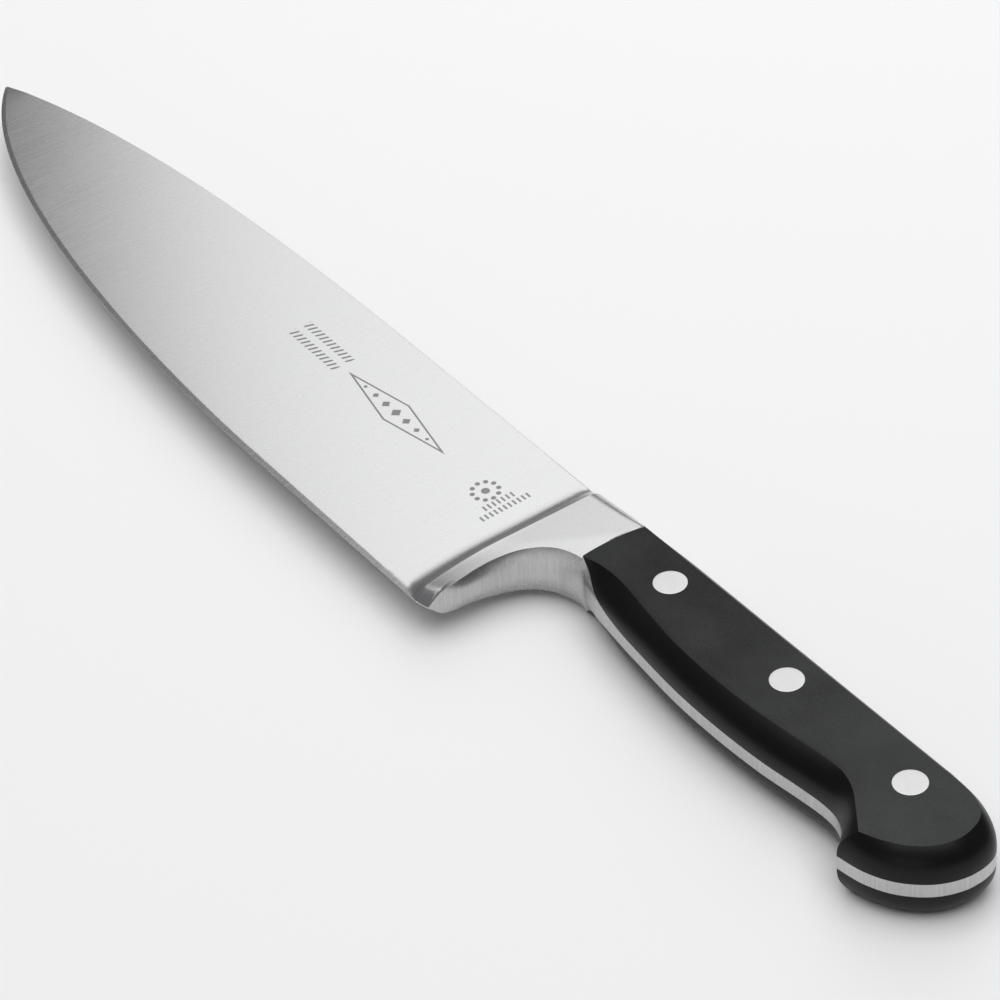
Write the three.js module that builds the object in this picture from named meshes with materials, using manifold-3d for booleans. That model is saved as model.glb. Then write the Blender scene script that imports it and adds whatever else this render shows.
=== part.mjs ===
// A forged chef's knife: one forging that is blade, bolster and full tang, two moulded scales, and three
// two-piece cutler's rivets. Millimetres. The knife lies on its right side: +X runs from the tip to the
// butt, +Y from the cutting edge to the spine and +Z up through the thickness. The origin is under the
// middle of the outline, level with the lowest edge of the right scale.
import * as THREE from "three";
import { mergeVertices } from "three/addons/utils/BufferGeometryUtils.js";
import Module from "manifold-3d";

const wasm = await Module();
wasm.setup();

// Driving dimensions. A half is a height above, or below, the knife's middle plane.
const BUTT_HALF = 8.1; // the handle is thickest at the rear end of its flat faces
const BUTT_FACE_X = 157.0;
const JOINT_HALF = 7.05; // and thins towards the bolster
const JOINT_X = 54.4; // where the bolster's back meets the scales, along the belly
const JOINT_BOW = 0.8; // how far the middle of that line bows towards the blade
const TANG_HALF = 1.5;
const SEAT_GAP = 0.03; // between a scale and the tang or bolster that it is seated on

const TIP = new THREE.Vector2(-160.4, 5.3);
const HEEL = new THREE.Vector2(41.0, -21.6);
const SPINE_HALF = 1.35; // half the blade's thickness along the spine at the bolster
const TIP_HALF = 0.45; // and at the tip
const BEVEL_WIDTH = 1.6; // the ground bevel along the edge
const BEVEL_HALF = 0.28; // half the thickness where the bevel starts
const EDGE_HALF = 0.06;
const BLADE_RINGS = 26;

const RAMP_X = 31.0; // the blade's face starts to rise towards the bolster
const RAMP_HALF = 0.3;
const CREASE_X = 38.0; // the ramp ends in a crisp edge, where the bolster's face starts
const CREASE_HALF = 4.9;
const ROOT_X = 65.8; // the fillet behind the bolster runs out in the tang here
const ROOT_HALF = 6.6; // and is this high at the bolster's back

const RIVET_Y = 13.65;
const RIVETS = [["front", 70.8], ["middle", 105.8], ["rear", 140.8]];
const RIVET_FACETS = 24;
const HEAD_RADIUS = 3.4;
const HEAD_HEIGHT = 2.2;
const TUBE_RADIUS = 2.2;
const STEM_RADIUS = 1.4;
const STEM_REACH = 4.4; // the solid stem ends this far past the middle plane
const TUBE_REACH = 3.4; // and so does the tube that it is pressed into
const BORE_GAP = 0.04; // round a rivet's head and tube, and between its stem and tube

const SIDE_STEPS = 6; // facets from the tang up a scale's rounded side to its flat face
const FRONT_FULLNESS = 1.8; // a side's inset grows with a power of its height: this at the bolster,
const REAR_FULLNESS = 2.7; // and this from the first rivet back, where the sides are fuller

const STEEL = { color: 0xc9cbcc, roughness: 0.34, metalness: 1.0 };
const PLASTIC = { color: 0x2c2e2e, roughness: 0.55, metalness: 0.0 };
const RIVET_METAL = { color: 0xdddfe0, roughness: 0.3, metalness: 1.0 };

const xy = (...pairs) => pairs.map(([x, y]) => new THREE.Vector2(x, y));

// The handle's two outlines, each from the bolster along the belly to the hook, then round the butt to
// the spine: the wide one is where the scales meet the tang, the narrow one is the edge of their faces.
const TANG_BELLY = xy(
  [49, 6.0], [54.3, 5.65], [57.2, 4.0], [62, 2.95], [70, 1.65], [78, 0.8], [90, -0.15],
  [102, -0.25], [114, 0.4], [124, 1.65], [130.5, 2.25], [135, 1.75], [138.8, -0.35], [141.9, -4.05],
);
const FACE_BELLY = xy(
  [49, 6.0], [54.3, 5.65], [59, 6.65], [65, 6.75], [74.2, 5.5], [84, 4.15], [94, 3.7],
  [106, 4.05], [117, 5.15], [126, 6.2], [131, 6.2], [135.5, 4.8], [140, 1.9], [144.6, -1.3],
);
const TANG_BUTT = xy(
  [141.9, -4.05], [148.2, -2.75], [154, 0.35], [158.6, 5.65],
  [160.45, 12.2], [158.8, 18.3], [152.5, 21.7], [142.2, 22.9],
);
const FACE_BUTT = xy(
  [144.6, -1.3], [148.8, 0.5], [153, 3.4], [156.1, 7.6],
  [157, 12.6], [155.1, 17.7], [150.4, 20.1], [142.2, 20.55],
);
const TANG_SPINE = xy([142.2, 22.9], [46.8, 22.15]);
const FACE_SPINE = xy([142.2, 20.55], [46.8, 19.6]);

function handleOutline(belly, butt, spine) {
  const bellyPoints = new THREE.SplineCurve(belly).getPoints(36);
  const buttPoints = new THREE.SplineCurve(butt).getPoints(20);
  const parts = [bellyPoints, buttPoints, spine];
  return parts.flatMap((points) => points.slice(0, -1)).concat(spine.at(-1));
}

// The scales' flat faces are planes that open towards the butt.
function faceHalf(x) {
  const share = (x - JOINT_X) / (BUTT_FACE_X - JOINT_X);
  return THREE.MathUtils.lerp(JOINT_HALF, BUTT_HALF, share);
}

function fullness(x) {
  const share = THREE.MathUtils.smoothstep(x, JOINT_X, RIVETS[0][1]);
  return THREE.MathUtils.lerp(FRONT_FULLNESS, REAR_FULLNESS, share);
}

// A closed skin over a row of rings that all have the same number of points. flat gives a point's place
// in the plane of the end caps.
function loft(rings, flat) {
  const count = rings[0].length;
  const last = (rings.length - 1) * count;
  const index = [];
  for (let start = 0; start < last; start += count) {
    for (let i = 0; i < count; i++) {
      const a = start + i;
      const b = start + ((i + 1) % count);
      index.push(a, b, b + count, a, b + count, a + count);
    }
  }
  for (const [a, b, c] of THREE.ShapeUtils.triangulateShape(rings[0].map(flat), [])) {
    index.push(c, b, a);
  }
  for (const [a, b, c] of THREE.ShapeUtils.triangulateShape(rings.at(-1).map(flat), [])) {
    index.push(last + a, last + b, last + c);
  }
  const positions = rings.flat().flatMap((point) => point.toArray());
  const geometry = new THREE.BufferGeometry();
  geometry.setAttribute("position", new THREE.Float32BufferAttribute(positions, 3));
  geometry.setIndex(index);
  return geometry;
}

function solid(geometry) {
  geometry.deleteAttribute("normal");
  geometry.deleteAttribute("uv");
  const merged = mergeVertices(geometry, 1e-4);
  return new wasm.Manifold(
    new wasm.Mesh({
      numProp: 3,
      vertProperties: merged.attributes.position.array,
      triVerts: new Uint32Array(merged.index.array),
    }),
  );
}

function geometryOf(made) {
  const mesh = made.getMesh();
  const geometry = new THREE.BufferGeometry();
  geometry.setAttribute("position", new THREE.BufferAttribute(mesh.vertProperties, 3));
  geometry.setIndex(new THREE.BufferAttribute(mesh.triVerts, 1));
  const faceted = geometry.toNonIndexed();
  faceted.computeVertexNormals();
  return faceted;
}

// A plan outline, extruded the same distance above and below the middle plane.
function plate(points, half) {
  const shape = new THREE.Shape(points);
  const geometry = new THREE.ExtrudeGeometry(shape, { depth: 2 * half, bevelEnabled: false });
  return solid(geometry.translate(0, 0, -half));
}

// A profile of half-thicknesses, mirrored below the middle plane and extruded either along Y, so that
// its first coordinate is X, or along X, so that its first coordinate is Y.
const PRISM_LENGTH = 240;
const ALONG_Y = new THREE.Matrix4().makeRotationX(Math.PI / 2);
const ALONG_X = new THREE.Matrix4().set(0, 0, 1, 0, 1, 0, 0, 0, 0, 1, 0, 0, 0, 0, 0, 1);

function prism(profile, turn) {
  const below = profile.map((point) => new THREE.Vector2(point.x, -point.y)).reverse();
  const shape = new THREE.Shape(profile.concat(below));
  const geometry = new THREE.ExtrudeGeometry(shape, { depth: PRISM_LENGTH, bevelEnabled: false });
  return solid(geometry.translate(0, 0, -PRISM_LENGTH / 2).applyMatrix4(turn));
}

// Points of an arc that starts level at (x0, half0) and steepens up to (x1, half1).
function concaveArc(x0, half0, x1, half1) {
  const steps = 8;
  const turn = 2 * Math.atan((half1 - half0) / (x1 - x0));
  const radius = (x1 - x0) / Math.sin(turn);
  return Array.from({ length: steps + 1 }, (_, i) => {
    const angle = (turn * i) / steps;
    return new THREE.Vector2(x0 + radius * Math.sin(angle), half0 + radius * (1 - Math.cos(angle)));
  });
}

// Shares of a rounded side's height where it is faceted, closest together near the flat face.
const SIDE_SHARES = Array.from({ length: SIDE_STEPS + 1 }, (_, i) => {
  return Math.sin((Math.PI / 2) * (i / SIDE_STEPS));
});

// The blade is a wedge with a bevel along its edge. Each ring is its section from spine to edge: the
// rings fan out from the tip and stand square where spine and edge run straight.
function blade() {
  const spine = new THREE.CubicBezierCurve(TIP, ...xy([-123.4, 19.0], [-72, 21.1], [-21, 21.6]));
  const edge = new THREE.CubicBezierCurve(TIP, ...xy([-131.8, -21.5], [-38, -22.8], [-21, -22.75]));
  const ends = [];
  for (let i = 0; i <= BLADE_RINGS; i++) {
    const t = THREE.MathUtils.lerp(0.004, 1, (i / BLADE_RINGS) ** 1.3);
    ends.push([spine.getPoint(t), edge.getPoint(t)]);
  }
  ends.push(xy([HEEL.x - 1.5, 22.2], [HEEL.x - 3.0, HEEL.y - 0.7]));
  const rings = ends.map(([top, bottom]) => {
    const along = (top.x - TIP.x) / (HEEL.x - TIP.x);
    const height = top.distanceTo(bottom);
    const half = THREE.MathUtils.lerp(TIP_HALF, SPINE_HALF, along) * Math.min(1, height / 6);
    const bevel = bottom.clone().lerp(top, Math.min(BEVEL_WIDTH / height, 0.4));
    const bevelHalf = Math.min(BEVEL_HALF, half * 0.8);
    const section = [
      [top, -half], [top, half], [bevel, bevelHalf],
      [bottom, EDGE_HALF], [bottom, -EDGE_HALF], [bevel, -bevelHalf],
    ];
    return section.map(([place, z]) => new THREE.Vector3(place.x, place.y, z));
  });
  return solid(loft(rings, (point) => new THREE.Vector2(point.y, point.z)));
}

// The line in plan where the bolster's back meets the scales, from the belly to the spine.
function jointLine(clearance) {
  const belly = TANG_BELLY[1];
  const spine = new THREE.Vector2(JOINT_X + 0.6, TANG_SPINE[1].y + 0.1);
  const middle = belly.clone().lerp(spine, 0.5);
  middle.x -= 2 * JOINT_BOW;
  const line = new THREE.QuadraticBezierCurve(belly, middle, spine).getPoints(6);
  return line.map((point) => new THREE.Vector2(point.x + clearance, point.y));
}

// The bolster's section seen from its end: a wedge that thins from the grip down to the heel, where it
// drops to the edge, and the same rounded side along the spine as the scales have.
function crosswiseForm() {
  const wedge = xy([HEEL.y + 1.4, 1.1], [-16.3, 2.6], [-10, 4.0], [-3.5, 5.1], [3, 6.35], [8, 7.6]);
  const spineSide = SIDE_SHARES.toReversed().map((share) => {
    const y = THREE.MathUtils.lerp(TANG_SPINE[1].y, FACE_SPINE[1].y, share ** fullness(JOINT_X));
    return new THREE.Vector2(y, THREE.MathUtils.lerp(TANG_HALF, JOINT_HALF + 0.1, share));
  });
  const profile = [
    ...xy([HEEL.y - 0.8, 0.2], [HEEL.y + 0.3, 0.35]),
    ...new THREE.SplineCurve(wedge).getPoints(12),
    ...spineSide,
  ];
  return prism(profile, ALONG_X);
}

// The bolster: its plan outline has the finger's hollow behind the heel, and its face rises in a concave
// ramp from the blade to a crisp edge, then more gently to the scales.
function bolster() {
  const hollow = xy([HEEL.x, HEEL.y], [41.9, -15.5], [42.35, -7.5], [44.1, -0.7], [48.3, 3.5]);
  const outline = [
    ...new THREE.SplineCurve(hollow.concat(TANG_BELLY[1])).getPoints(24).slice(0, -1),
    ...jointLine(0),
    ...xy([RAMP_X, TANG_SPINE[1].y - 0.1], [RAMP_X, HEEL.y - 0.75], [HEEL.x - 3.0, HEEL.y - 0.7]),
  ];
  const lengthwise = [
    ...concaveArc(RAMP_X, RAMP_HALF, CREASE_X, CREASE_HALF),
    ...xy([JOINT_X, JOINT_HALF], [JOINT_X + 2, JOINT_HALF]),
  ];
  return plate(outline, JOINT_HALF).intersect(prism(lengthwise, ALONG_Y)).intersect(crosswiseForm());
}

// The fillet between the bolster's back and the tang, which can be grown by a clearance.
function rootFillet(clearance) {
  const arc = concaveArc(-ROOT_X, TANG_HALF, -JOINT_X - 0.2, ROOT_HALF);
  const profile = [
    new THREE.Vector2(JOINT_X - 2, ROOT_HALF + clearance),
    ...arc.map((point) => new THREE.Vector2(clearance - point.x, clearance + point.y)).reverse(),
  ];
  return prism(profile, ALONG_Y);
}

function cylinder(radius, from, to, x) {
  const geometry = new THREE.CylinderGeometry(radius, radius, to - from, RIVET_FACETS);
  return solid(geometry.rotateX(Math.PI / 2).translate(x, RIVET_Y, (from + to) / 2));
}

function forging() {
  const outline = handleOutline(TANG_BELLY, TANG_BUTT, TANG_SPINE);
  const root = rootFillet(0).intersect(plate(outline, BUTT_HALF)).intersect(crosswiseForm());
  let made = blade().add(bolster()).add(root).add(plate(outline, TANG_HALF));
  for (const [, x] of RIVETS) {
    made = made.subtract(cylinder(TUBE_RADIUS + BORE_GAP, -BUTT_HALF, BUTT_HALF, x));
  }
  return made;
}

// The left scale: a round-sided slab between the two outlines, cut to the bolster and bored for the
// rivets. The right scale is its mirror image.
function scale() {
  const wide = handleOutline(TANG_BELLY, TANG_BUTT, TANG_SPINE);
  const narrow = handleOutline(FACE_BELLY, FACE_BUTT, FACE_SPINE);
  const rings = SIDE_SHARES.map((share) => wide.map((point, i) => {
    const place = point.clone().lerp(narrow[i], share ** fullness(point.x));
    const z = THREE.MathUtils.lerp(TANG_HALF + SEAT_GAP, faceHalf(place.x), share);
    return new THREE.Vector3(place.x, place.y, z);
  }));
  const front = plate([...jointLine(SEAT_GAP), ...xy([60, 40], [20, 40], [20, -20], [50, -20])], BUTT_HALF);
  let made = solid(loft(rings, (point) => new THREE.Vector2(point.x, point.y)));
  made = made.subtract(front).subtract(rootFillet(SEAT_GAP));
  for (const [, x] of RIVETS) {
    const seat = faceHalf(x) - HEAD_HEIGHT - BORE_GAP;
    made = made.subtract(cylinder(TUBE_RADIUS + BORE_GAP, 0, BUTT_HALF, x));
    made = made.subtract(cylinder(HEAD_RADIUS + BORE_GAP, seat, BUTT_HALF + 1, x));
  }
  return made;
}

// One half of a rivet, turned from a profile of radii and heights.
function turned(profile) {
  const geometry = new THREE.LatheGeometry(profile.map(([r, h]) => new THREE.Vector2(r, h)), RIVET_FACETS);
  return geometryOf(solid(geometry.rotateX(Math.PI / 2)));
}

// The upper half has a solid stem; its head is flush with the left scale.
function stemHalf(face) {
  const under = face - HEAD_HEIGHT;
  return turned([
    [0, -STEM_REACH], [STEM_RADIUS, -STEM_REACH], [STEM_RADIUS, under],
    [HEAD_RADIUS, under], [HEAD_RADIUS, face], [0, face],
  ]);
}

// The lower half is a tube, closed by its head, that the stem is pressed into.
function tubeHalf(face) {
  const under = face - HEAD_HEIGHT;
  const bore = STEM_RADIUS + BORE_GAP;
  const floor = -STEM_REACH - 0.3;
  return turned([
    [0, -face], [HEAD_RADIUS, -face], [HEAD_RADIUS, -under], [TUBE_RADIUS, -under],
    [TUBE_RADIUS, TUBE_REACH], [bore, TUBE_REACH], [bore, floor], [0, floor],
  ]);
}

function part(name, geometry, look) {
  const mesh = new THREE.Mesh(geometry, new THREE.MeshStandardMaterial(look));
  mesh.name = name;
  return mesh;
}

const knife = new THREE.Group();
knife.position.z = BUTT_HALF;
knife.add(part("blade_forging", geometryOf(forging()), STEEL));

const scaleGeometry = geometryOf(scale());
const rightScale = part("scale_right", scaleGeometry, PLASTIC);
rightScale.scale.z = -1;
knife.add(part("scale_left", scaleGeometry, PLASTIC), rightScale);

for (const [place, x] of RIVETS) {
  const stem = part(`rivet_stem_${place}`, stemHalf(faceHalf(x)), RIVET_METAL);
  const tube = part(`rivet_tube_${place}`, tubeHalf(faceHalf(x)), RIVET_METAL);
  stem.position.set(x, RIVET_Y, 0);
  tube.position.set(x, RIVET_Y, 0);
  knife.add(stem, tube);
}

export default knife;
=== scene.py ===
import math

import bmesh
import bpy
import numpy as np
from mathutils import Matrix, Vector


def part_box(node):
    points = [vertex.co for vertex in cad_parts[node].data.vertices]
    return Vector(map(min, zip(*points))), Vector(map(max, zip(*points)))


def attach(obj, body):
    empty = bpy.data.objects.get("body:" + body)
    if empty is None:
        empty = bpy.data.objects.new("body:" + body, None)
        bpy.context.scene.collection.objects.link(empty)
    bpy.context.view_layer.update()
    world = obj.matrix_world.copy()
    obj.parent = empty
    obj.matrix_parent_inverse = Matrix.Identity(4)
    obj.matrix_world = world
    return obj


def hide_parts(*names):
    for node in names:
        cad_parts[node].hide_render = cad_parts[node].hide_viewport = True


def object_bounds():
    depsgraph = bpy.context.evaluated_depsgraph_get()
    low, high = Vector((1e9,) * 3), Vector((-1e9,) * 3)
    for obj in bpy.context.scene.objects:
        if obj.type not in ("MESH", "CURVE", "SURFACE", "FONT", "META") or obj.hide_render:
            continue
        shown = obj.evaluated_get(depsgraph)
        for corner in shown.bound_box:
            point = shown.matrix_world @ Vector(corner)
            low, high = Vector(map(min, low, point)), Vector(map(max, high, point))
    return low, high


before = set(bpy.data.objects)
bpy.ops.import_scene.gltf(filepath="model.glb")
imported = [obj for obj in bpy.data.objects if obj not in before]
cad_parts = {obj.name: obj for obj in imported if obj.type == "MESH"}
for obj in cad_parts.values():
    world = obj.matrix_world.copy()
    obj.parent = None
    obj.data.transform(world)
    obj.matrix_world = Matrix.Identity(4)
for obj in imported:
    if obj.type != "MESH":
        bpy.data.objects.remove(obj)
cad_low, cad_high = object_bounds()


# ================================ The forging ================================
# Blade, bolster and full tang are one drop forging in stainless steel. The blade is ground to a long
# wedge with a bevel along its edge; the bolster stays thick where the fingers meet it, and the tang is
# a flat plate with the outline of the handle.

# Plan positions are in millimetres, X towards the butt and Y towards the spine.
MM = 0.001
MIDDLE = (cad_low.z + cad_high.z) / 2 / MM  # height of the knife's middle plane
TIP = (-160.4, 5.3)
HEEL = (41.0, -21.6)
CREASE_X = 38.0  # where the ramp in front of the bolster ends in its face
RAMP_LENGTH = 7.0
RAMP_RISE = 3.6  # where the ramp rises less than this it is shorter
RAMP_START = CREASE_X - RAMP_LENGTH

# The blade's outline is two curves from the tip, each with its three pulls, then nearly straight lines.
SPINE_PULLS = ((-123.4, 19.0), (-72.0, 21.1), (-21.0, 21.6))
EDGE_PULLS = ((-131.8, -21.5), (-38.0, -22.8), (-21.0, -22.75))
EDGE_END = (CREASE_X, -22.3)
SPINE_AT = (46.8, 22.15)
SPINE_SLOPE = (22.9 - 22.15) / (142.2 - 46.8)

# The finger's hollow runs from the heel to the scales. Its last point only leads it on into the tang.
HOLLOW = (
    HEEL, (42.1, -15.5), (42.65, -7.5), (44.5, -1.2), (48.4, 2.8), (54.3, 4.4), (57.4, 3.95),
)
HOLLOW_SPANS = 5
TANG_BELLY = (
    (48.4, 2.8), (54.3, 4.4), (57.4, 3.95), (62, 2.95), (70, 1.65), (78, 0.8), (90, -0.15),
    (102, -0.25), (114, 0.4), (124, 1.65), (130.5, 2.25), (135, 1.75), (138.8, -0.35), (141.9, -4.05),
)
TANG_BUTT = (
    (141.9, -4.05), (148.2, -2.75), (154, 0.35), (158.6, 5.65),
    (160.45, 12.2), (158.8, 18.3), (152.5, 21.7), (142.2, 22.9),
)
# The edge of the scales' flat faces, point by point beside the tang's outline.
FACE_BELLY = (
    (48.4, 5.1), (54.3, 5.65), (59, 6.65), (65, 6.75), (74.2, 5.5), (84, 4.15), (94, 3.7),
    (106, 4.05), (117, 5.15), (126, 6.2), (131, 6.2), (135.5, 4.8), (140, 1.9), (144.6, -1.3),
)
FACE_BUTT = (
    (144.6, -1.3), (148.8, 0.5), (153, 3.4), (156.1, 7.6),
    (157, 12.6), (155.1, 17.7), (150.4, 20.1), (142.2, 20.55),
)
BUTT_TIP = 4  # the rearmost point's place in TANG_BUTT and FACE_BUTT
BUTT_TOP = 7  # the place of their last point, on the spine
BUTT_FACE_X = FACE_BUTT[BUTT_TIP][0]
FACE_SPINE_DROP = 2.45  # from the tang's spine to the edge of the scales' faces
SOFT_SPINE = 3.4  # width of the bolster's rounding along its spine, away from the scales

BEVEL_WIDTH = 1.0
SPINE_ROUNDING = 0.22

# Half thicknesses, from the middle plane.
EDGE_HALF = 0.05
BEVEL_HALF = 0.28
TIP_SPINE_HALF = 0.45
HEEL_SPINE_HALF = 1.35
CREASE_HALF = 4.3
TANG_HALF = 1.5
JOINT_HALF = 7.05  # at the scales' front ends
FILLET_HALF = 5.52  # what the fillet behind the bolster adds to the tang there
FILLET_LENGTH = 4.3
BUTT_HALF = MIDDLE - cad_low.z / MM

# The joint between the bolster and the scales.
JOINT_X = 54.4
JOINT_BELLY_X = TANG_BELLY[1][0]
JOINT_SPINE_X = JOINT_X + 0.6
JOINT_BOW = 0.8
BELLY_INSET = 1.25  # from the middle of the side in the hollow to the edge of the face, at the joint
FRONT_INSET = 0.95  # the same at the front of the hollow


def lerp(a, b, share):
    return a + (b - a) * share


def smoothstep(value, low, high):
    share = np.clip((value - low) / (high - low), 0, 1)
    return share * share * (3 - 2 * share)


def spline(points, place):
    """The point at a place counted in spans along the smooth curve through the points."""
    span = min(int(place), len(points) - 2)
    t = place - span
    before, start, end, after = (
        np.array(points[min(max(i, 0), len(points) - 1)], float) for i in range(span - 1, span + 3)
    )
    leave, arrive = (end - before) / 2, (after - start) / 2
    return (
        (2 * start - 2 * end + leave + arrive) * t**3
        + (3 * end - 3 * start - 2 * leave - arrive) * t**2
        + leave * t
        + start
    )


def bezier(start, pulls, t):
    a, b, c, d = (np.array(p, float) for p in (start, *pulls))
    return a * (1 - t) ** 3 + 3 * b * t * (1 - t) ** 2 + 3 * c * t**2 * (1 - t) + d * t**3


def face_half(x):
    """Half the handle's thickness, which grows from the bolster to the butt."""
    return lerp(JOINT_HALF, BUTT_HALF, (x - JOINT_X) / (BUTT_FACE_X - JOINT_X))


def fullness(x):
    """How squarely the handle's sides stand before they turn in to the faces."""
    return lerp(1.8, 2.7, smoothstep(x, JOINT_X, 70.8))


def soft_least(a, b, reach):
    """The smaller of two heights, with the corner between them rounded off."""
    mix = np.clip(0.5 + 0.5 * (b - a) / reach, 0, 1)
    return lerp(b, a, mix) - reach * mix * (1 - mix)


def rounded(distance, radius):
    """How far a rounded edge lies below its sharp one, at a distance in from it."""
    inside = np.clip(radius - distance, 0, radius)
    return radius - np.sqrt(radius**2 - inside**2)


def bevel_width(depth):
    """The width of the edge's bevel, which narrows with the blade at the tip."""
    return min(BEVEL_WIDTH, 0.3 * depth)


def blade_half(x, from_edge, from_spine, depth):
    """Half the blade's thickness: a bevel, then a wedge up to the spine, whose corners are eased."""
    slim = min(1.0, depth / 6)
    spine = lerp(TIP_SPINE_HALF, HEEL_SPINE_HALF, (x - TIP[0]) / (HEEL[0] - TIP[0])) * slim
    bevel = np.minimum(BEVEL_HALF, 0.8 * spine)
    width = bevel_width(depth)
    body = lerp(bevel, spine, np.clip((from_edge - width) / (depth - width), 0, 1) ** 0.9)
    half = np.where(from_edge < width, lerp(EDGE_HALF, bevel, from_edge / width), body)
    return half - rounded(from_spine, np.minimum(SPINE_ROUNDING, 0.5 * spine))


def edge_y(x):
    """The cutting edge's last stretch, which turns up a little to the heel."""
    return lerp(EDGE_END[1], HEEL[1], np.clip((x - EDGE_END[0]) / (HEEL[0] - EDGE_END[0]), 0, 1))


def belly_inset(x, y):
    """How far the side in the hollow leans in from its middle to the edge of the face: not at all at the
    heel."""
    return lerp(FRONT_INSET, BELLY_INSET, smoothstep(x, 44, JOINT_X)) * smoothstep(y, HEEL[1], -11)


def bolster_half(x, y, from_belly, from_spine, inset):
    """Half the bolster's thickness behind the crease: a face that rises gently to the scales, thins down
    towards the heel and ends there in a steep facet. Its spine and the side in the hollow are rounded."""
    behind_crease = np.clip(x, CREASE_X, JOINT_X) - CREASE_X
    face = lerp(CREASE_HALF, JOINT_HALF, behind_crease / (JOINT_X - CREASE_X))
    above_heel = y - HEEL[1]
    thinned = 2.392 + 0.13 * above_heel + 0.05 * np.clip(behind_crease, 0, 5)
    height = soft_least(face, thinned - 0.9 * np.exp(-above_heel / 2.2), 0.6)
    crisp = np.clip(from_spine / FACE_SPINE_DROP, 0, 1) ** (1 / fullness(JOINT_X))
    soft = np.sqrt(1 - (1 - np.clip(from_spine / SOFT_SPINE, 0, 1)) ** 2)
    rise = lerp(soft, crisp, smoothstep(x, 48, JOINT_X))
    height = lerp(np.minimum(TANG_HALF, height), height, rise)
    facet = BEVEL_HALF + y - edge_y(x) - 0.3
    height = soft_least(height, facet, 0.8)
    if inset > 0.02:
        share = np.clip(from_belly / inset, 0, 1) ** (1 / fullness(JOINT_X))
        height = height * lerp(TANG_HALF / JOINT_HALF, 1, share)
    return height


def ramp_half(x, y, from_edge, from_spine, blade):
    """Half the thickness in front of the crease: a concave ramp, tangent to the blade, whose top is the
    bolster's face."""
    crease = bolster_half(np.full_like(x, CREASE_X), y, from_edge, from_spine, 0)
    rise = np.maximum(crease - blade, 0.0)
    run = RAMP_LENGTH * np.clip(rise / RAMP_RISE, 0.02, 1) ** 0.35
    turn = 2 * np.arctan(rise / run)
    radius = run / np.maximum(np.sin(turn), 1e-3)
    along = np.clip(x - (CREASE_X - run), 0, run)
    return blade + np.minimum(radius - np.sqrt(radius**2 - along**2), rise)


def spine_y(x):
    """The straight line of the spine from the ramp to the butt."""
    return SPINE_AT[1] + SPINE_SLOPE * (x - SPINE_AT[0])


# Each section of the forging runs across it from the belly, or edge, to the spine, with as many points
# as the next. This is how they are spread.
BELLY_SHARES = np.array([0, 0.03, 0.09, 0.17, 0.27, 0.38, 0.5, 0.63, 0.77, 0.89, 0.96, 1.0]) ** 2
MIDDLE_SHARES = np.array([
    0.004, 0.02, 0.05, 0.1, 0.16, 0.23, 0.3, 0.37, 0.44,
    0.51, 0.58, 0.65, 0.72, 0.79, 0.86, 0.92, 0.97, 0.995,
])
SPINE_SHARES = np.sin(np.linspace(math.pi / 2, 0, 14)) ** 2
HEEL_WIDTH = 2.2  # beside the edge, where the steep facet at the heel needs more points
BOLSTER_SPINE_WIDTH = 1.6 * FACE_SPINE_DROP


def bowed(plan, along, bow):
    """A section's plan points, with its middle moved towards the tip. Along runs from 0 to 1 over it."""
    return plan - np.outer(4 * bow * along * (1 - along), (1, 0))


def section(belly, inward, belly_width, spine, spine_width, bow=0.0):
    """Plan points of one section, their distances from the belly and from the spine, and its depth."""
    belly, spine, inward = (np.array(p, float) for p in (belly, spine, inward))
    depth = np.linalg.norm(belly - spine)
    near = belly + np.outer(belly_width * BELLY_SHARES, inward)
    far = spine + np.outer(spine_width * SPINE_SHARES, (belly - spine) / depth)
    between = near[-1] + np.outer(MIDDLE_SHARES, far[0] - near[-1])
    from_belly = np.concatenate([
        belly_width * BELLY_SHARES,
        lerp(belly_width, depth - spine_width, MIDDLE_SHARES),
        depth - spine_width * SPINE_SHARES,
    ])
    plan = bowed(np.vstack([near, between, far]), from_belly / depth, bow)
    return plan, from_belly, depth - from_belly, depth


def blade_sections():
    """From the tip to the crease where the ramp ends."""
    ends = []
    for step in range(91):
        t = lerp(0.004, 1, (step / 90) ** 1.3)
        ends.append((bezier(TIP, EDGE_PULLS, t), bezier(TIP, SPINE_PULLS, t)))
    (curve_end, edge_there), (_, spine_there) = EDGE_PULLS[2], SPINE_PULLS[2]
    ramp = np.linspace(RAMP_START - 2, CREASE_X - 0.12, 26)
    for x in (*np.arange(curve_end + 3, ramp[0], 3), *ramp, CREASE_X):
        share = (x - curve_end) / (CREASE_X - curve_end)
        edge = np.array([x, lerp(edge_there, EDGE_END[1], share)])
        spine = np.array([x, lerp(spine_there, spine_y(CREASE_X), share)])
        ends.append((edge, spine))
    for edge, spine in ends:
        x, depth = edge[0], np.linalg.norm(spine - edge)
        edge_width = lerp(bevel_width(depth), HEEL_WIDTH, smoothstep(x, 26, RAMP_START))
        spine_width = lerp(min(0.3, 0.2 * depth), BOLSTER_SPINE_WIDTH, smoothstep(x, 18, RAMP_START))
        yield section(edge, (spine - edge) / depth, edge_width, spine, spine_width)


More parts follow.
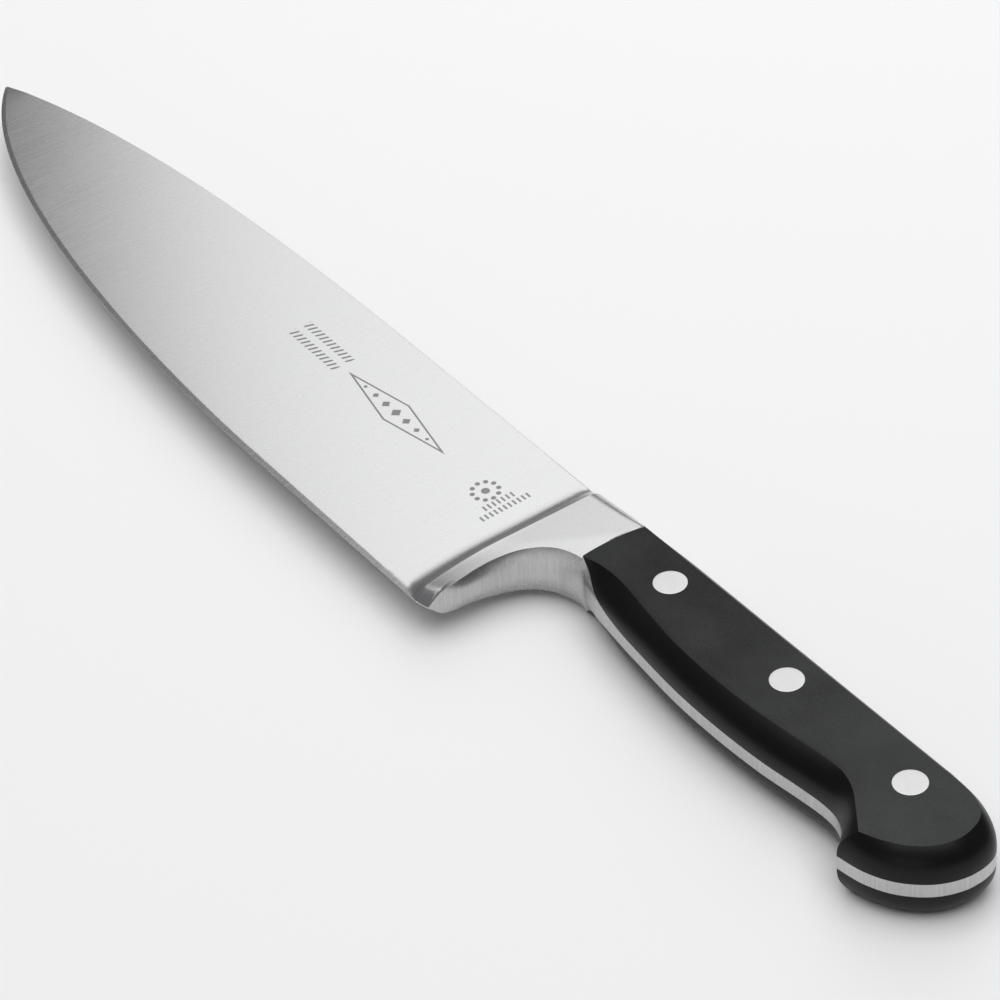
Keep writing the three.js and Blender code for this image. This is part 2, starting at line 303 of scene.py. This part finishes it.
def bolster_sections():
    """From the crease along the edge's last stretch to the heel, then round the finger's hollow."""
    edge_end, heel = np.array(EDGE_END), np.array(HEEL)
    to_heel = [lerp(edge_end, heel, share) for share in (0.05, 0.3, 0.55, 0.8, 1.0)]
    hollow = [spline(HOLLOW, place) for place in np.linspace(0, HOLLOW_SPANS - 0.001, 66)[1:]]
    bellies = to_heel + hollow
    heel_spine_x = CREASE_X + 0.4
    for i, belly in enumerate(bellies):
        if i < len(to_heel):
            along = heel - edge_end
            spine_x = lerp(CREASE_X, heel_spine_x, (i + 1) / len(to_heel))
            width = HEEL_WIDTH
        else:
            along = bellies[min(i + 1, len(bellies) - 1)] - bellies[i - 1]
            share = (i + 1 - len(to_heel)) / len(hollow)
            spine_x = lerp(heel_spine_x, JOINT_SPINE_X, share**1.4)
            width = max(0.1, belly_inset(*belly))
        inward = np.array([-along[1], along[0]]) / np.linalg.norm(along)
        bow = JOINT_BOW * smoothstep(belly[0], 44, JOINT_BELLY_X)
        yield section(belly, inward, width, (spine_x, spine_y(spine_x)), BOLSTER_SPINE_WIDTH, bow)


def handle_sections():
    """The corners of each section behind the bolster: tang's belly, face's belly, face's spine and tang's
    spine, then half the tang's thickness there and the section's bow."""
    for place in (1.0, 1.01, 1.05, 1.1, *np.linspace(1.2, len(TANG_BELLY) - 1, 104)):
        belly = spline(TANG_BELLY, place)
        share = np.clip((belly[0] - JOINT_BELLY_X) / (TANG_BELLY[-1][0] - JOINT_BELLY_X), 0, 1)
        x = lerp(JOINT_SPINE_X, TANG_BUTT[-1][0], share)
        spine = np.array([x, spine_y(x)])
        face_spine = np.array([x, spine_y(x) - FACE_SPINE_DROP])
        bow = JOINT_BOW * (1 - smoothstep(x, JOINT_X, 62))
        yield belly, spline(FACE_BELLY, place), face_spine, spine, root_half(belly[0]), bow
    for share in np.linspace(0, 1, 61)[1:]:
        lower, upper = share * BUTT_TIP, lerp(BUTT_TOP, BUTT_TIP, share)
        yield (
            spline(TANG_BUTT, lower), spline(FACE_BUTT, lower),
            spline(FACE_BUTT, upper), spline(TANG_BUTT, upper), TANG_HALF, 0.0,
        )


def root_half(belly_x):
    """Half the thickness of the fillet behind the bolster, which thins down to the tang."""
    return TANG_HALF + FILLET_HALF * math.exp(-max(belly_x - JOINT_BELLY_X, 0) / FILLET_LENGTH)


def root_share(root, x):
    """The share of the scale's side that the forging takes up."""
    return np.clip((root - TANG_HALF) / (face_half(x) - TANG_HALF), 0.004, 1)


def side_points(outer, inner, low_share, high_share, count, exponent):
    """Points up a rounded side between two outlines, as plan points and heights."""
    shares = np.sin(np.linspace(math.asin(low_share), math.asin(high_share), count))
    plan = outer + np.outer(shares**exponent, inner - outer)
    return plan, lerp(TANG_HALF, face_half(plan[:, 0]), shares)


def share_along(plan, start, end):
    """How far along the way from start to end each point is, from 0 to 1."""
    way = np.linalg.norm(plan - start, axis=1)
    return np.clip(way / max(np.linalg.norm(end - start), 1.0), 0, 1)


def mirrored_ring(plan, half):
    """A closed ring over the plan points and back under them."""
    top = np.column_stack([plan, half])
    bottom = np.column_stack([plan, -half])[::-1]
    return np.vstack([top, bottom])


def forging_rings():
    rings = []
    for plan, from_edge, from_spine, depth in blade_sections():
        x, y = plan.T
        blade = blade_half(x, from_edge, from_spine, depth)
        rings.append(mirrored_ring(plan, ramp_half(x, y, from_edge, from_spine, blade)))
    for plan, from_belly, from_spine, depth in bolster_sections():
        x, y = plan.T
        half = bolster_half(x, y, from_belly, from_spine, belly_inset(x[0], y[0]))
        rings.append(mirrored_ring(plan, np.maximum(half, EDGE_HALF)))
    for belly, face_belly, face_spine, spine, root, bow in handle_sections():
        share, exponent = root_share(root, belly[0]), fullness(belly[0])
        near, near_half = side_points(belly, face_belly, 0.002, share, 12, exponent)
        far, far_half = side_points(spine, face_spine, 0.002, share, 14, exponent)
        between = near[-1] + np.outer(MIDDLE_SHARES, far[-1] - near[-1])
        plan = np.vstack([near, between, far[::-1]])
        plan = bowed(plan, share_along(plan, plan[0], plan[-1]), bow)
        half = np.concatenate([near_half, np.full(len(between), root), far_half[::-1]])
        rings.append(mirrored_ring(plan, half))
    return rings


def skin(name, rings, sharp_degrees):
    """A closed mesh over rings of as many points each, in millimetres about the middle plane."""
    count = len(rings[0])
    points = np.vstack(rings) + np.array([0, 0, MIDDLE])
    faces = [
        (start + i, start + (i + 1) % count, start + count + (i + 1) % count, start + count + i)
        for start in range(0, (len(rings) - 1) * count, count)
        for i in range(count)
    ]
    faces.append(tuple(range(count))[::-1])
    low, high = np.array(cad_low) + 1e-6, np.array(cad_high) - 1e-6  # just inside the CAD model's box
    mesh = bpy.data.meshes.new(name)
    mesh.from_pydata(np.clip(points * MM, low, high).tolist(), [], faces)
    built = bmesh.new()
    built.from_mesh(mesh)
    bmesh.ops.remove_doubles(built, verts=built.verts, dist=2e-6)
    bmesh.ops.dissolve_degenerate(built, edges=built.edges, dist=1e-6)
    bmesh.ops.recalc_face_normals(built, faces=built.faces)
    built.to_mesh(mesh)
    built.free()
    mesh.shade_smooth()
    mesh.set_sharp_from_angle(angle=math.radians(sharp_degrees))
    piece = bpy.data.objects.new(name, mesh)
    bpy.context.scene.collection.objects.link(piece)
    return piece


class Finish:
    """A material whose nodes are written as expressions."""

    def __init__(self, name):
        self.material = bpy.data.materials.new(name)
        self.material.use_nodes = True
        self.tree = self.material.node_tree
        self.tree.nodes.clear()
        self.place = self.node("ShaderNodeTexCoord", out="Object")
        self.x, self.y, self.z = self.axes(self.place)
        self.up = abs(self.axes(self.node("ShaderNodeNewGeometry", out="Normal"))[2])

    def node(self, kind, settings=None, values=None, out=0):
        """A node of this kind. Its settings come first, then the values or links of its sockets."""
        made = self.tree.nodes.new(kind)
        for key, value in (settings or {}).items():
            setattr(made, key, value)
        for key, value in (values or {}).items():
            if isinstance(value, Wire):
                self.tree.links.new(value.socket, made.inputs[key])
            else:
                made.inputs[key].default_value = value
        return made if out is None else Wire(self, made.outputs[out])

    def axes(self, vector):
        """The X, Y and Z of a vector."""
        apart = self.node("ShaderNodeSeparateXYZ", {}, {0: vector}, out=None)
        return [Wire(self, socket) for socket in apart.outputs]

    def noise(self, stretch, detail, roughness):
        """Noise about 0.5, with this many features to the metre along each axis."""
        scaled = self.node("ShaderNodeMapping", {}, {"Vector": self.place, "Scale": stretch})
        return self.node(
            "ShaderNodeTexNoise", {},
            {"Vector": scaled, "Scale": 1.0, "Detail": detail, "Roughness": roughness},
        )

    def colour(self, red, green, blue):
        return self.node("ShaderNodeCombineColor", {}, {0: red, 1: green, 2: blue})

    def relief(self, height, distance, strength, under=None):
        """A bumped normal, on top of another one if that is given."""
        values = {"Height": height, "Distance": distance, "Strength": strength}
        if under is not None:
            values["Normal"] = under
        return self.node("ShaderNodeBump", {}, values)

    def finished(self, **values):
        """Ends the tree in a Principled shader. A name's underscores are the socket's spaces."""
        named = {key.replace("_", " "): value for key, value in values.items()}
        shader = self.node("ShaderNodeBsdfPrincipled", {}, named)
        self.node("ShaderNodeOutputMaterial", {}, {"Surface": shader}, out=None)
        return self.material


class Wire:
    """A value in a material. Arithmetic on it adds Math nodes."""

    def __init__(self, finish, socket):
        self.finish, self.socket = finish, socket

    def math(self, operation, *others, reflected=False):
        """A Math node over this value and any others. Reflected, the others come first."""
        values = (*others, self) if reflected else (self, *others)
        return self.finish.node("ShaderNodeMath", {"operation": operation}, dict(enumerate(values)))

    def __add__(self, other):
        return self.math("ADD", other)

    def __radd__(self, other):
        return self.math("ADD", other, reflected=True)

    def __sub__(self, other):
        return self.math("SUBTRACT", other)

    def __rsub__(self, other):
        return self.math("SUBTRACT", other, reflected=True)

    def __mul__(self, other):
        return self.math("MULTIPLY", other)

    def __rmul__(self, other):
        return self.math("MULTIPLY", other, reflected=True)

    def __truediv__(self, other):
        return self.math("DIVIDE", other)

    def __abs__(self):
        return self.math("ABSOLUTE")

    def most(self, other):
        return self.math("MAXIMUM", other)

    def between(self, low, high):
        """0 below low, 1 above high, and smooth between them. With low above high it falls instead."""
        values = {"Value": self, "From Min": low, "From Max": high}
        return self.finish.node("ShaderNodeMapRange", {"interpolation_type": "SMOOTHSTEP"}, values)


def etched_marks(steel):
    """Ornament etched in the left side of the blade, 1 where the steel is etched. Sizes and places are in
    millimetres."""
    x, y = steel.x * 1000, steel.y * 1000

    def box(across, up, half_across, half_up):
        outside = (abs(across) - half_across).most(abs(up) - half_up)
        return outside.between(0.08, -0.08)

    def repeated(value, period):
        """Distance from the middle of the nearest of a row of marks."""
        return (value / period + 0.5).math("FRACT") * period - period / 2

    # A lozenge around a row of diamonds.
    along, up = x + 10.2, y - 6.6
    spread = abs(along) / 16 + abs(up) / 3.1 - 1
    mark = (abs(spread) * 3.0).between(0.26, 0.12)
    inside = (abs(repeated(along, 3.6)) + abs(up) - (1.25 - abs(along) * 0.07)).between(0.1, -0.1)
    mark = mark.most(inside * (abs(along) - 12.7).between(0.1, -0.1))
    # Two rows of slanted strokes.
    for row_y in (8.9, 5.3):
        slanted = repeated(x - (y - row_y) * 0.35, 1.36)
        mark = mark.most(box(slanted, y - row_y, 0.26, 0.95) * box(x + 37.7, y - row_y, 8.1, 2))
    # A ring of dots with one in its middle.
    across, up = x - 20.9, y - 6.3
    radius = (across * across + up * up).math("SQRT")
    angle = up.math("ARCTAN2", across)
    ring = radius - 2.7
    beside = repeated(angle, math.pi / 5) * 2.7
    dots = (beside * beside + ring * ring).between(0.36, 0.2)
    mark = mark.most(dots).most((radius - 0.9).between(0.1, -0.1))
    # Two columns of ticks.
    for column_x, half in ((25.1, 3.9), (27.3, 6.2)):
        ticks = box(x - column_x, repeated(y - 6.4, 1.1), 0.75, 0.22)
        mark = mark.most(ticks * box(x - column_x, y - 6.4, 2, half))
    return mark * (steel.z * 1000).between(MIDDLE, MIDDLE + 0.2)


def steel_finish():
    """Satin stainless steel. The flats are brushed across the blade, the walls through its thickness. The
    walls are also painted darker, a painted shade for the dim surroundings that they mirror.
    """
    steel = Finish("satin_steel")
    wall = steel.up.between(0.75, 0.45)
    across = steel.noise((6500, 110, 400), 3.0, 0.7)
    streaks = steel.noise((900, 16, 100), 3.0, 0.6)
    through = steel.noise((2600, 2600, 70), 3.0, 0.65)
    cloud = steel.noise((60, 60, 60), 3.0, 0.5)
    grain = across * (1 - wall) + through * wall
    etched = etched_marks(steel)
    tone = 0.63 + 0.11 * (grain - 0.5) + 0.02 * (streaks - 0.5) + 0.03 * (cloud - 0.5)
    # Painted shade: the walls' colour is darkened by about a fifth, streaked with their brushing, to
    # stand for the dim surroundings that they mirror.
    tone = tone * (1 - wall * (0.22 + 0.5 * (through - 0.5)))
    tone = tone * (1 - 0.62 * etched)
    rough = 0.28 + 0.10 * (grain - 0.5) + 0.03 * (streaks - 0.5) + 0.04 * (cloud - 0.5) + 0.15 * etched
    return steel.finished(
        Base_Color=steel.colour(tone, tone * 1.003, tone * 1.008), Metallic=1.0, Roughness=rough,
        Normal=steel.relief(grain, 0.00002, 0.09, steel.relief(streaks, 0.00005, 0.015)),
    )


forging = skin("knife_forging", forging_rings(), 40)
forging.data.materials.append(steel_finish())
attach(forging, "root")
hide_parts("blade_forging")


# ================================ The scales ================================
# Two slabs of dark glass-filled plastic, moulded to the handle's shape and seated on the tang and
# behind the bolster. Their flat faces are sanded matt after riveting; their sides keep a smoother skin.

SEAT_GAP = 0.03
SIDE_TOP = 0.985  # the share of a side's height where its rounding meets the flat face


def scale_rings():
    """Sections of the left scale: up its belly side, over its face, down its spine side and back over its
    seat on the forging."""
    rings = []
    for k, (belly, face_belly, face_spine, spine, root, bow) in enumerate(handle_sections()):
        low, exponent = root_share(root, belly[0]), fullness(belly[0])
        near, near_half = side_points(belly, face_belly, low, SIDE_TOP, 22, exponent)
        far, far_half = side_points(spine, face_spine, low, SIDE_TOP, 22, exponent)
        face = face_belly + np.outer(np.linspace(0, 1, 12), face_spine - face_belly)
        seat = far[0] + np.outer(np.linspace(0, 1, 8)[1:-1], near[0] - far[0])
        plan = np.vstack([near, face, far[::-1], seat])
        plan = bowed(plan, share_along(plan, near[0], far[0]), bow)
        plan[:, 0] += SEAT_GAP * smoothstep(k, 6, 0)
        seated = np.full(len(seat) + 1, root + SEAT_GAP)
        half = np.concatenate([
            seated[:1], near_half[1:], face_half(face[:, 0]), far_half[:0:-1], seated,
        ])
        rings.append(np.column_stack([plan, half]))
    return rings


def plastic_finish():
    """Dark plastic, matt where it is sanded and a little glossier on its moulded sides. Its flat faces
    are coloured paler than the sides, partly as painted sheen for the light they catch from above, and a
    painted highlight makes them paler still towards the butt.
    """
    plastic = Finish("matt_plastic")
    flat = plastic.up.between(0.90, 0.995)
    grain = plastic.noise((3200, 3200, 3200), 2.0, 0.6)
    sanding = plastic.noise((900, 4200, 900), 2.0, 0.5)
    cloud = plastic.noise((60, 60, 60), 3.0, 0.55)
    # Painted highlight: the flat faces grow paler towards the butt, standing for the sheen that the light
    # lays on them there.
    painted_sheen_to_butt = plastic.x.between(0.05, 0.16)
    # The flat faces are coloured paler than the sides, partly as painted sheen for the light they catch
    # from above; the cloud and grain are the plastic's own mottling.
    tone = 0.003 + flat * (0.006 + 0.024 * painted_sheen_to_butt + 0.05 * (cloud - 0.5) + 0.03 * (grain - 0.5))
    rough = 0.34 + 0.20 * (cloud - 0.5) + 0.10 * (grain - 0.5)
    rough = rough + flat * (0.20 + 0.10 * (sanding - 0.5))
    height = grain * (0.3 + 0.7 * flat) + sanding * flat
    return plastic.finished(
        Base_Color=plastic.colour(tone * 0.97, tone * 1.03, tone), Roughness=rough,
        Specular_IOR_Level=0.22, Normal=plastic.relief(height, 0.00004, 0.5),
    )


plastic = plastic_finish()
for side, sign in (("left", 1), ("right", -1)):
    rings = [ring * np.array([1, 1, sign]) for ring in scale_rings()]
    slab = skin(f"handle_scale_{side}", rings, 30)
    slab.data.materials.append(plastic)
    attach(slab, "root")
    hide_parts(f"scale_{side}")


# ================================ The rivets ================================
# Three aluminium cutler's rivets. Each is a headed stem, driven from the left side into a headed tube
# from the right; the heads lie in counterbores and are sanded flush with the scales.

RIVET_PLACES = ("front", "middle", "rear")
HEAD_RADIUS = 3.4
HEAD_HEIGHT = 2.2
STEM_RADIUS = 1.4
TUBE_RADIUS = 2.2
BORE_RADIUS = STEM_RADIUS + 0.04
STEM_END = -11.6  # below the upper head's face
TUBE_END = -10.6  # from the lower head's face, measured upwards
TUBE_FLOOR = -2.4  # the end of the tube's bore, under its own head
CROWN = 0.02  # a sanded head stands this far proud in its middle
SIDES = 64


def turned(name, profile):
    """A solid of revolution about Z from radii and heights, in millimetres. It starts and ends on the
    axis."""
    built = bmesh.new()
    rows = []
    for radius, height in profile:
        angles = [0] if radius == 0 else [2 * math.pi * i / SIDES for i in range(SIDES)]
        rows.append([
            built.verts.new((radius * math.cos(a) * MM, radius * math.sin(a) * MM, height * MM))
            for a in angles
        ])
    for upper, lower in zip(rows, rows[1:]):
        for i in range(SIDES):
            corners = [row[j % SIDES % len(row)] for row, j in (
                (upper, i), (upper, i + 1), (lower, i + 1), (lower, i),
            )]
            built.faces.new(list(dict.fromkeys(corners)))
    bmesh.ops.recalc_face_normals(built, faces=built.faces)
    mesh = bpy.data.meshes.new(name)
    built.to_mesh(mesh)
    built.free()
    mesh.shade_smooth()
    mesh.set_sharp_from_angle(angle=math.radians(35))
    return bpy.data.objects.new(name, mesh)


head = [(r, CROWN * (1 - (r / HEAD_RADIUS) ** 2)) for r in np.linspace(0, HEAD_RADIUS - 0.12, 10)]
head += [(HEAD_RADIUS - 0.04, -0.02), (HEAD_RADIUS, -0.08), (HEAD_RADIUS, -HEAD_HEIGHT)]
stem_half = turned("rivet_stem", head + [
    (STEM_RADIUS, -HEAD_HEIGHT), (STEM_RADIUS, STEM_END), (0, STEM_END),
])
tube_half = turned("rivet_tube", head + [
    (TUBE_RADIUS, -HEAD_HEIGHT), (TUBE_RADIUS, TUBE_END), (BORE_RADIUS, TUBE_END),
    (BORE_RADIUS, TUBE_FLOOR), (0, TUBE_FLOOR),
])


def rivet_finish():
    """Aluminium, sanded along the handle with the scales' faces."""
    metal = Finish("sanded_aluminium")
    grain = metal.noise((900, 6000, 900), 2.0, 0.6)
    cloud = metal.noise((300, 300, 300), 2.0, 0.5)
    tone = 0.60 + 0.08 * (grain - 0.5) + 0.06 * (cloud - 0.5)
    return metal.finished(
        Base_Color=metal.colour(tone, tone, tone * 1.005), Metallic=1.0,
        Roughness=0.42 + 0.10 * (grain - 0.5), Normal=metal.relief(grain, 0.00002, 0.3),
    )


def rivet_row(stem, tube, finish):
    """A node tree that sets a stem on every point of one line and a tube on every point of its mirror
    image in the middle plane, each square to the sloping face that it is flush with."""
    tree = bpy.data.node_groups.new("rivet_row", "GeometryNodeTree")
    inputs = {}
    for name, kind in (("Count", "Int"), ("First", "Vector"), ("Step", "Vector"), ("Slope", "Float")):
        inputs[name] = tree.interface.new_socket(name, in_out="INPUT", socket_type=f"NodeSocket{kind}")
    tree.interface.new_socket("Geometry", in_out="OUTPUT", socket_type="NodeSocketGeometry")
    given, result = tree.nodes.new("NodeGroupInput"), tree.nodes.new("NodeGroupOutput")
    joined = tree.nodes.new("GeometryNodeJoinGeometry")
    for pattern, sign in ((stem, 1), (tube, -1)):
        flipped = []
        for name in ("First", "Step"):
            flip = tree.nodes.new("ShaderNodeVectorMath")
            flip.operation = "MULTIPLY"
            flip.inputs[1].default_value = (1, 1, sign)
            tree.links.new(given.outputs[name], flip.inputs[0])
            flipped.append(flip.outputs[0])
        line = tree.nodes.new("GeometryNodeMeshLine")
        tree.links.new(given.outputs["Count"], line.inputs["Count"])
        tree.links.new(flipped[0], line.inputs["Start Location"])
        tree.links.new(flipped[1], line.inputs["Offset"])
        lean = tree.nodes.new("ShaderNodeMath")
        lean.operation = "MULTIPLY_ADD"
        lean.inputs[1].default_value = -sign
        lean.inputs[2].default_value = 0 if sign > 0 else math.pi
        tree.links.new(given.outputs["Slope"], lean.inputs[0])
        turn = tree.nodes.new("ShaderNodeCombineXYZ")
        tree.links.new(lean.outputs[0], turn.inputs[1])
        source = tree.nodes.new("GeometryNodeObjectInfo")
        source.inputs["Object"].default_value = pattern
        spread = tree.nodes.new("GeometryNodeInstanceOnPoints")
        tree.links.new(line.outputs[0], spread.inputs["Points"])
        tree.links.new(source.outputs["Geometry"], spread.inputs["Instance"])
        tree.links.new(turn.outputs[0], spread.inputs["Rotation"])
        tree.links.new(spread.outputs[0], joined.inputs[0])
    lift = tree.nodes.new("GeometryNodeTransform")
    lift.inputs["Translation"].default_value = (0, 0, MIDDLE * MM)
    real = tree.nodes.new("GeometryNodeRealizeInstances")
    coat = tree.nodes.new("GeometryNodeSetMaterial")
    coat.inputs["Material"].default_value = finish
    for start, end in ((joined, lift), (lift, real), (real, coat), (coat, result)):
        tree.links.new(start.outputs[0], end.inputs[0])
    return tree, {name: socket.identifier for name, socket in inputs.items()}


heads = [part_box(f"rivet_stem_{place}") for place in RIVET_PLACES]
centres = [(low + high) / 2 for low, high in heads]
first_x = centres[0].x / MM
pitch = (centres[-1].x - centres[0].x) / (len(centres) - 1)
slope = (BUTT_HALF - JOINT_HALF) / (BUTT_FACE_X - JOINT_X)
rivets = bpy.data.objects.new("rivets", bpy.data.meshes.new("rivets"))
bpy.context.scene.collection.objects.link(rivets)
row, sockets = rivet_row(stem_half, tube_half, rivet_finish())
setting = rivets.modifiers.new("row", "NODES")
setting.node_group = row
setting[sockets["Count"]] = len(RIVET_PLACES)
setting[sockets["First"]] = (centres[0].x, centres[0].y, face_half(first_x) * MM)
setting[sockets["Step"]] = (pitch, 0, pitch * slope)
setting[sockets["Slope"]] = slope
rivets.data = bpy.data.meshes.new_from_object(
    rivets.evaluated_get(bpy.context.evaluated_depsgraph_get())
)
rivets.modifiers.clear()
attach(rivets, "root")
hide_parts(*(f"rivet_{kind}_{place}" for place in RIVET_PLACES for kind in ("stem", "tube")))


# ================================ Floor, light and camera ================================
# The knife lies on a wide sheet of matt white paper. A large softbox overhead lights it evenly, a small
# one beyond the tip is mirrored in the steel, and a weak one low beside the camera lifts the near sides.
# A long lens looks down on the knife from beyond the butt, on the edge's side.

FLOOR_REACH = 3.0

floor_mesh = bpy.data.meshes.new("floor")
floor_corners = [
    (x * FLOOR_REACH, y * FLOOR_REACH, cad_low.z) for x, y in ((-1, -1), (1, -1), (1, 1), (-1, 1))
]
floor_mesh.from_pydata(floor_corners, [], [(0, 1, 2, 3)])
floor = bpy.data.objects.new("floor", floor_mesh)
bpy.context.scene.collection.objects.link(floor)
paper = Finish("pale_paper")
floor.data.materials.append(paper.finished(Base_Color=(0.9, 0.9, 0.9, 1), Roughness=0.9))


def direction(towards, up):
    """The way that is so many degrees round from -Y and so many up."""
    turn, rise = math.radians(towards), math.radians(up)
    return Vector((math.sin(turn) * math.cos(rise), -math.cos(turn) * math.cos(rise), math.sin(rise)))


def softbox(name, way, distance, width, height, power, aim=(0.0, 0.0, 0.01)):
    """A rectangular lamp that faces its aim from a distance."""
    lamp = bpy.data.lights.new(name, "AREA")
    lamp.shape = "RECTANGLE"
    lamp.size, lamp.size_y, lamp.energy = width, height, power
    holder = bpy.data.objects.new(name, lamp)
    holder.location = Vector(aim) + way * distance
    holder.rotation_euler = way.to_track_quat("Z", "Y").to_euler()
    bpy.context.scene.collection.objects.link(holder)


softbox("back_softbox", direction(234, 37), 0.8, 0.62, 0.58, 1.36, (0.195, 0.055, 0.01))
softbox("top_softbox", direction(60, 84), 2.0, 2.6, 2.6, 43)
softbox("side_softbox", direction(40, 16), 1.6, 0.9, 0.35, 0.9)

world = bpy.data.worlds.new("studio")
world.use_nodes = True
world.node_tree.nodes["Background"].inputs["Color"].default_value = (0.15, 0.15, 0.155, 1)
bpy.context.scene.world = world
bpy.context.scene.view_settings.view_transform = "Standard"

CAMERA_PLACE = (0.571567, -0.348068, 0.561057)
CAMERA_TOWARDS = 57.002
CAMERA_UP = 40.263
CAMERA_ROLL = -4.164

camera_data = bpy.data.cameras.new("camera")
camera_data.lens = 158.4
camera_data.sensor_width = 36
camera_data.clip_end = 20
camera = bpy.data.objects.new("camera", camera_data)
back, level = direction(CAMERA_TOWARDS, CAMERA_UP), direction(CAMERA_TOWARDS + 90, 0)
axes = Matrix((level, back.cross(level), back)).transposed().to_4x4()
roll = Matrix.Rotation(math.radians(CAMERA_ROLL), 4, "Z")
camera.matrix_world = Matrix.Translation(CAMERA_PLACE) @ axes @ roll
bpy.context.scene.collection.objects.link(camera)
bpy.context.scene.camera = camera
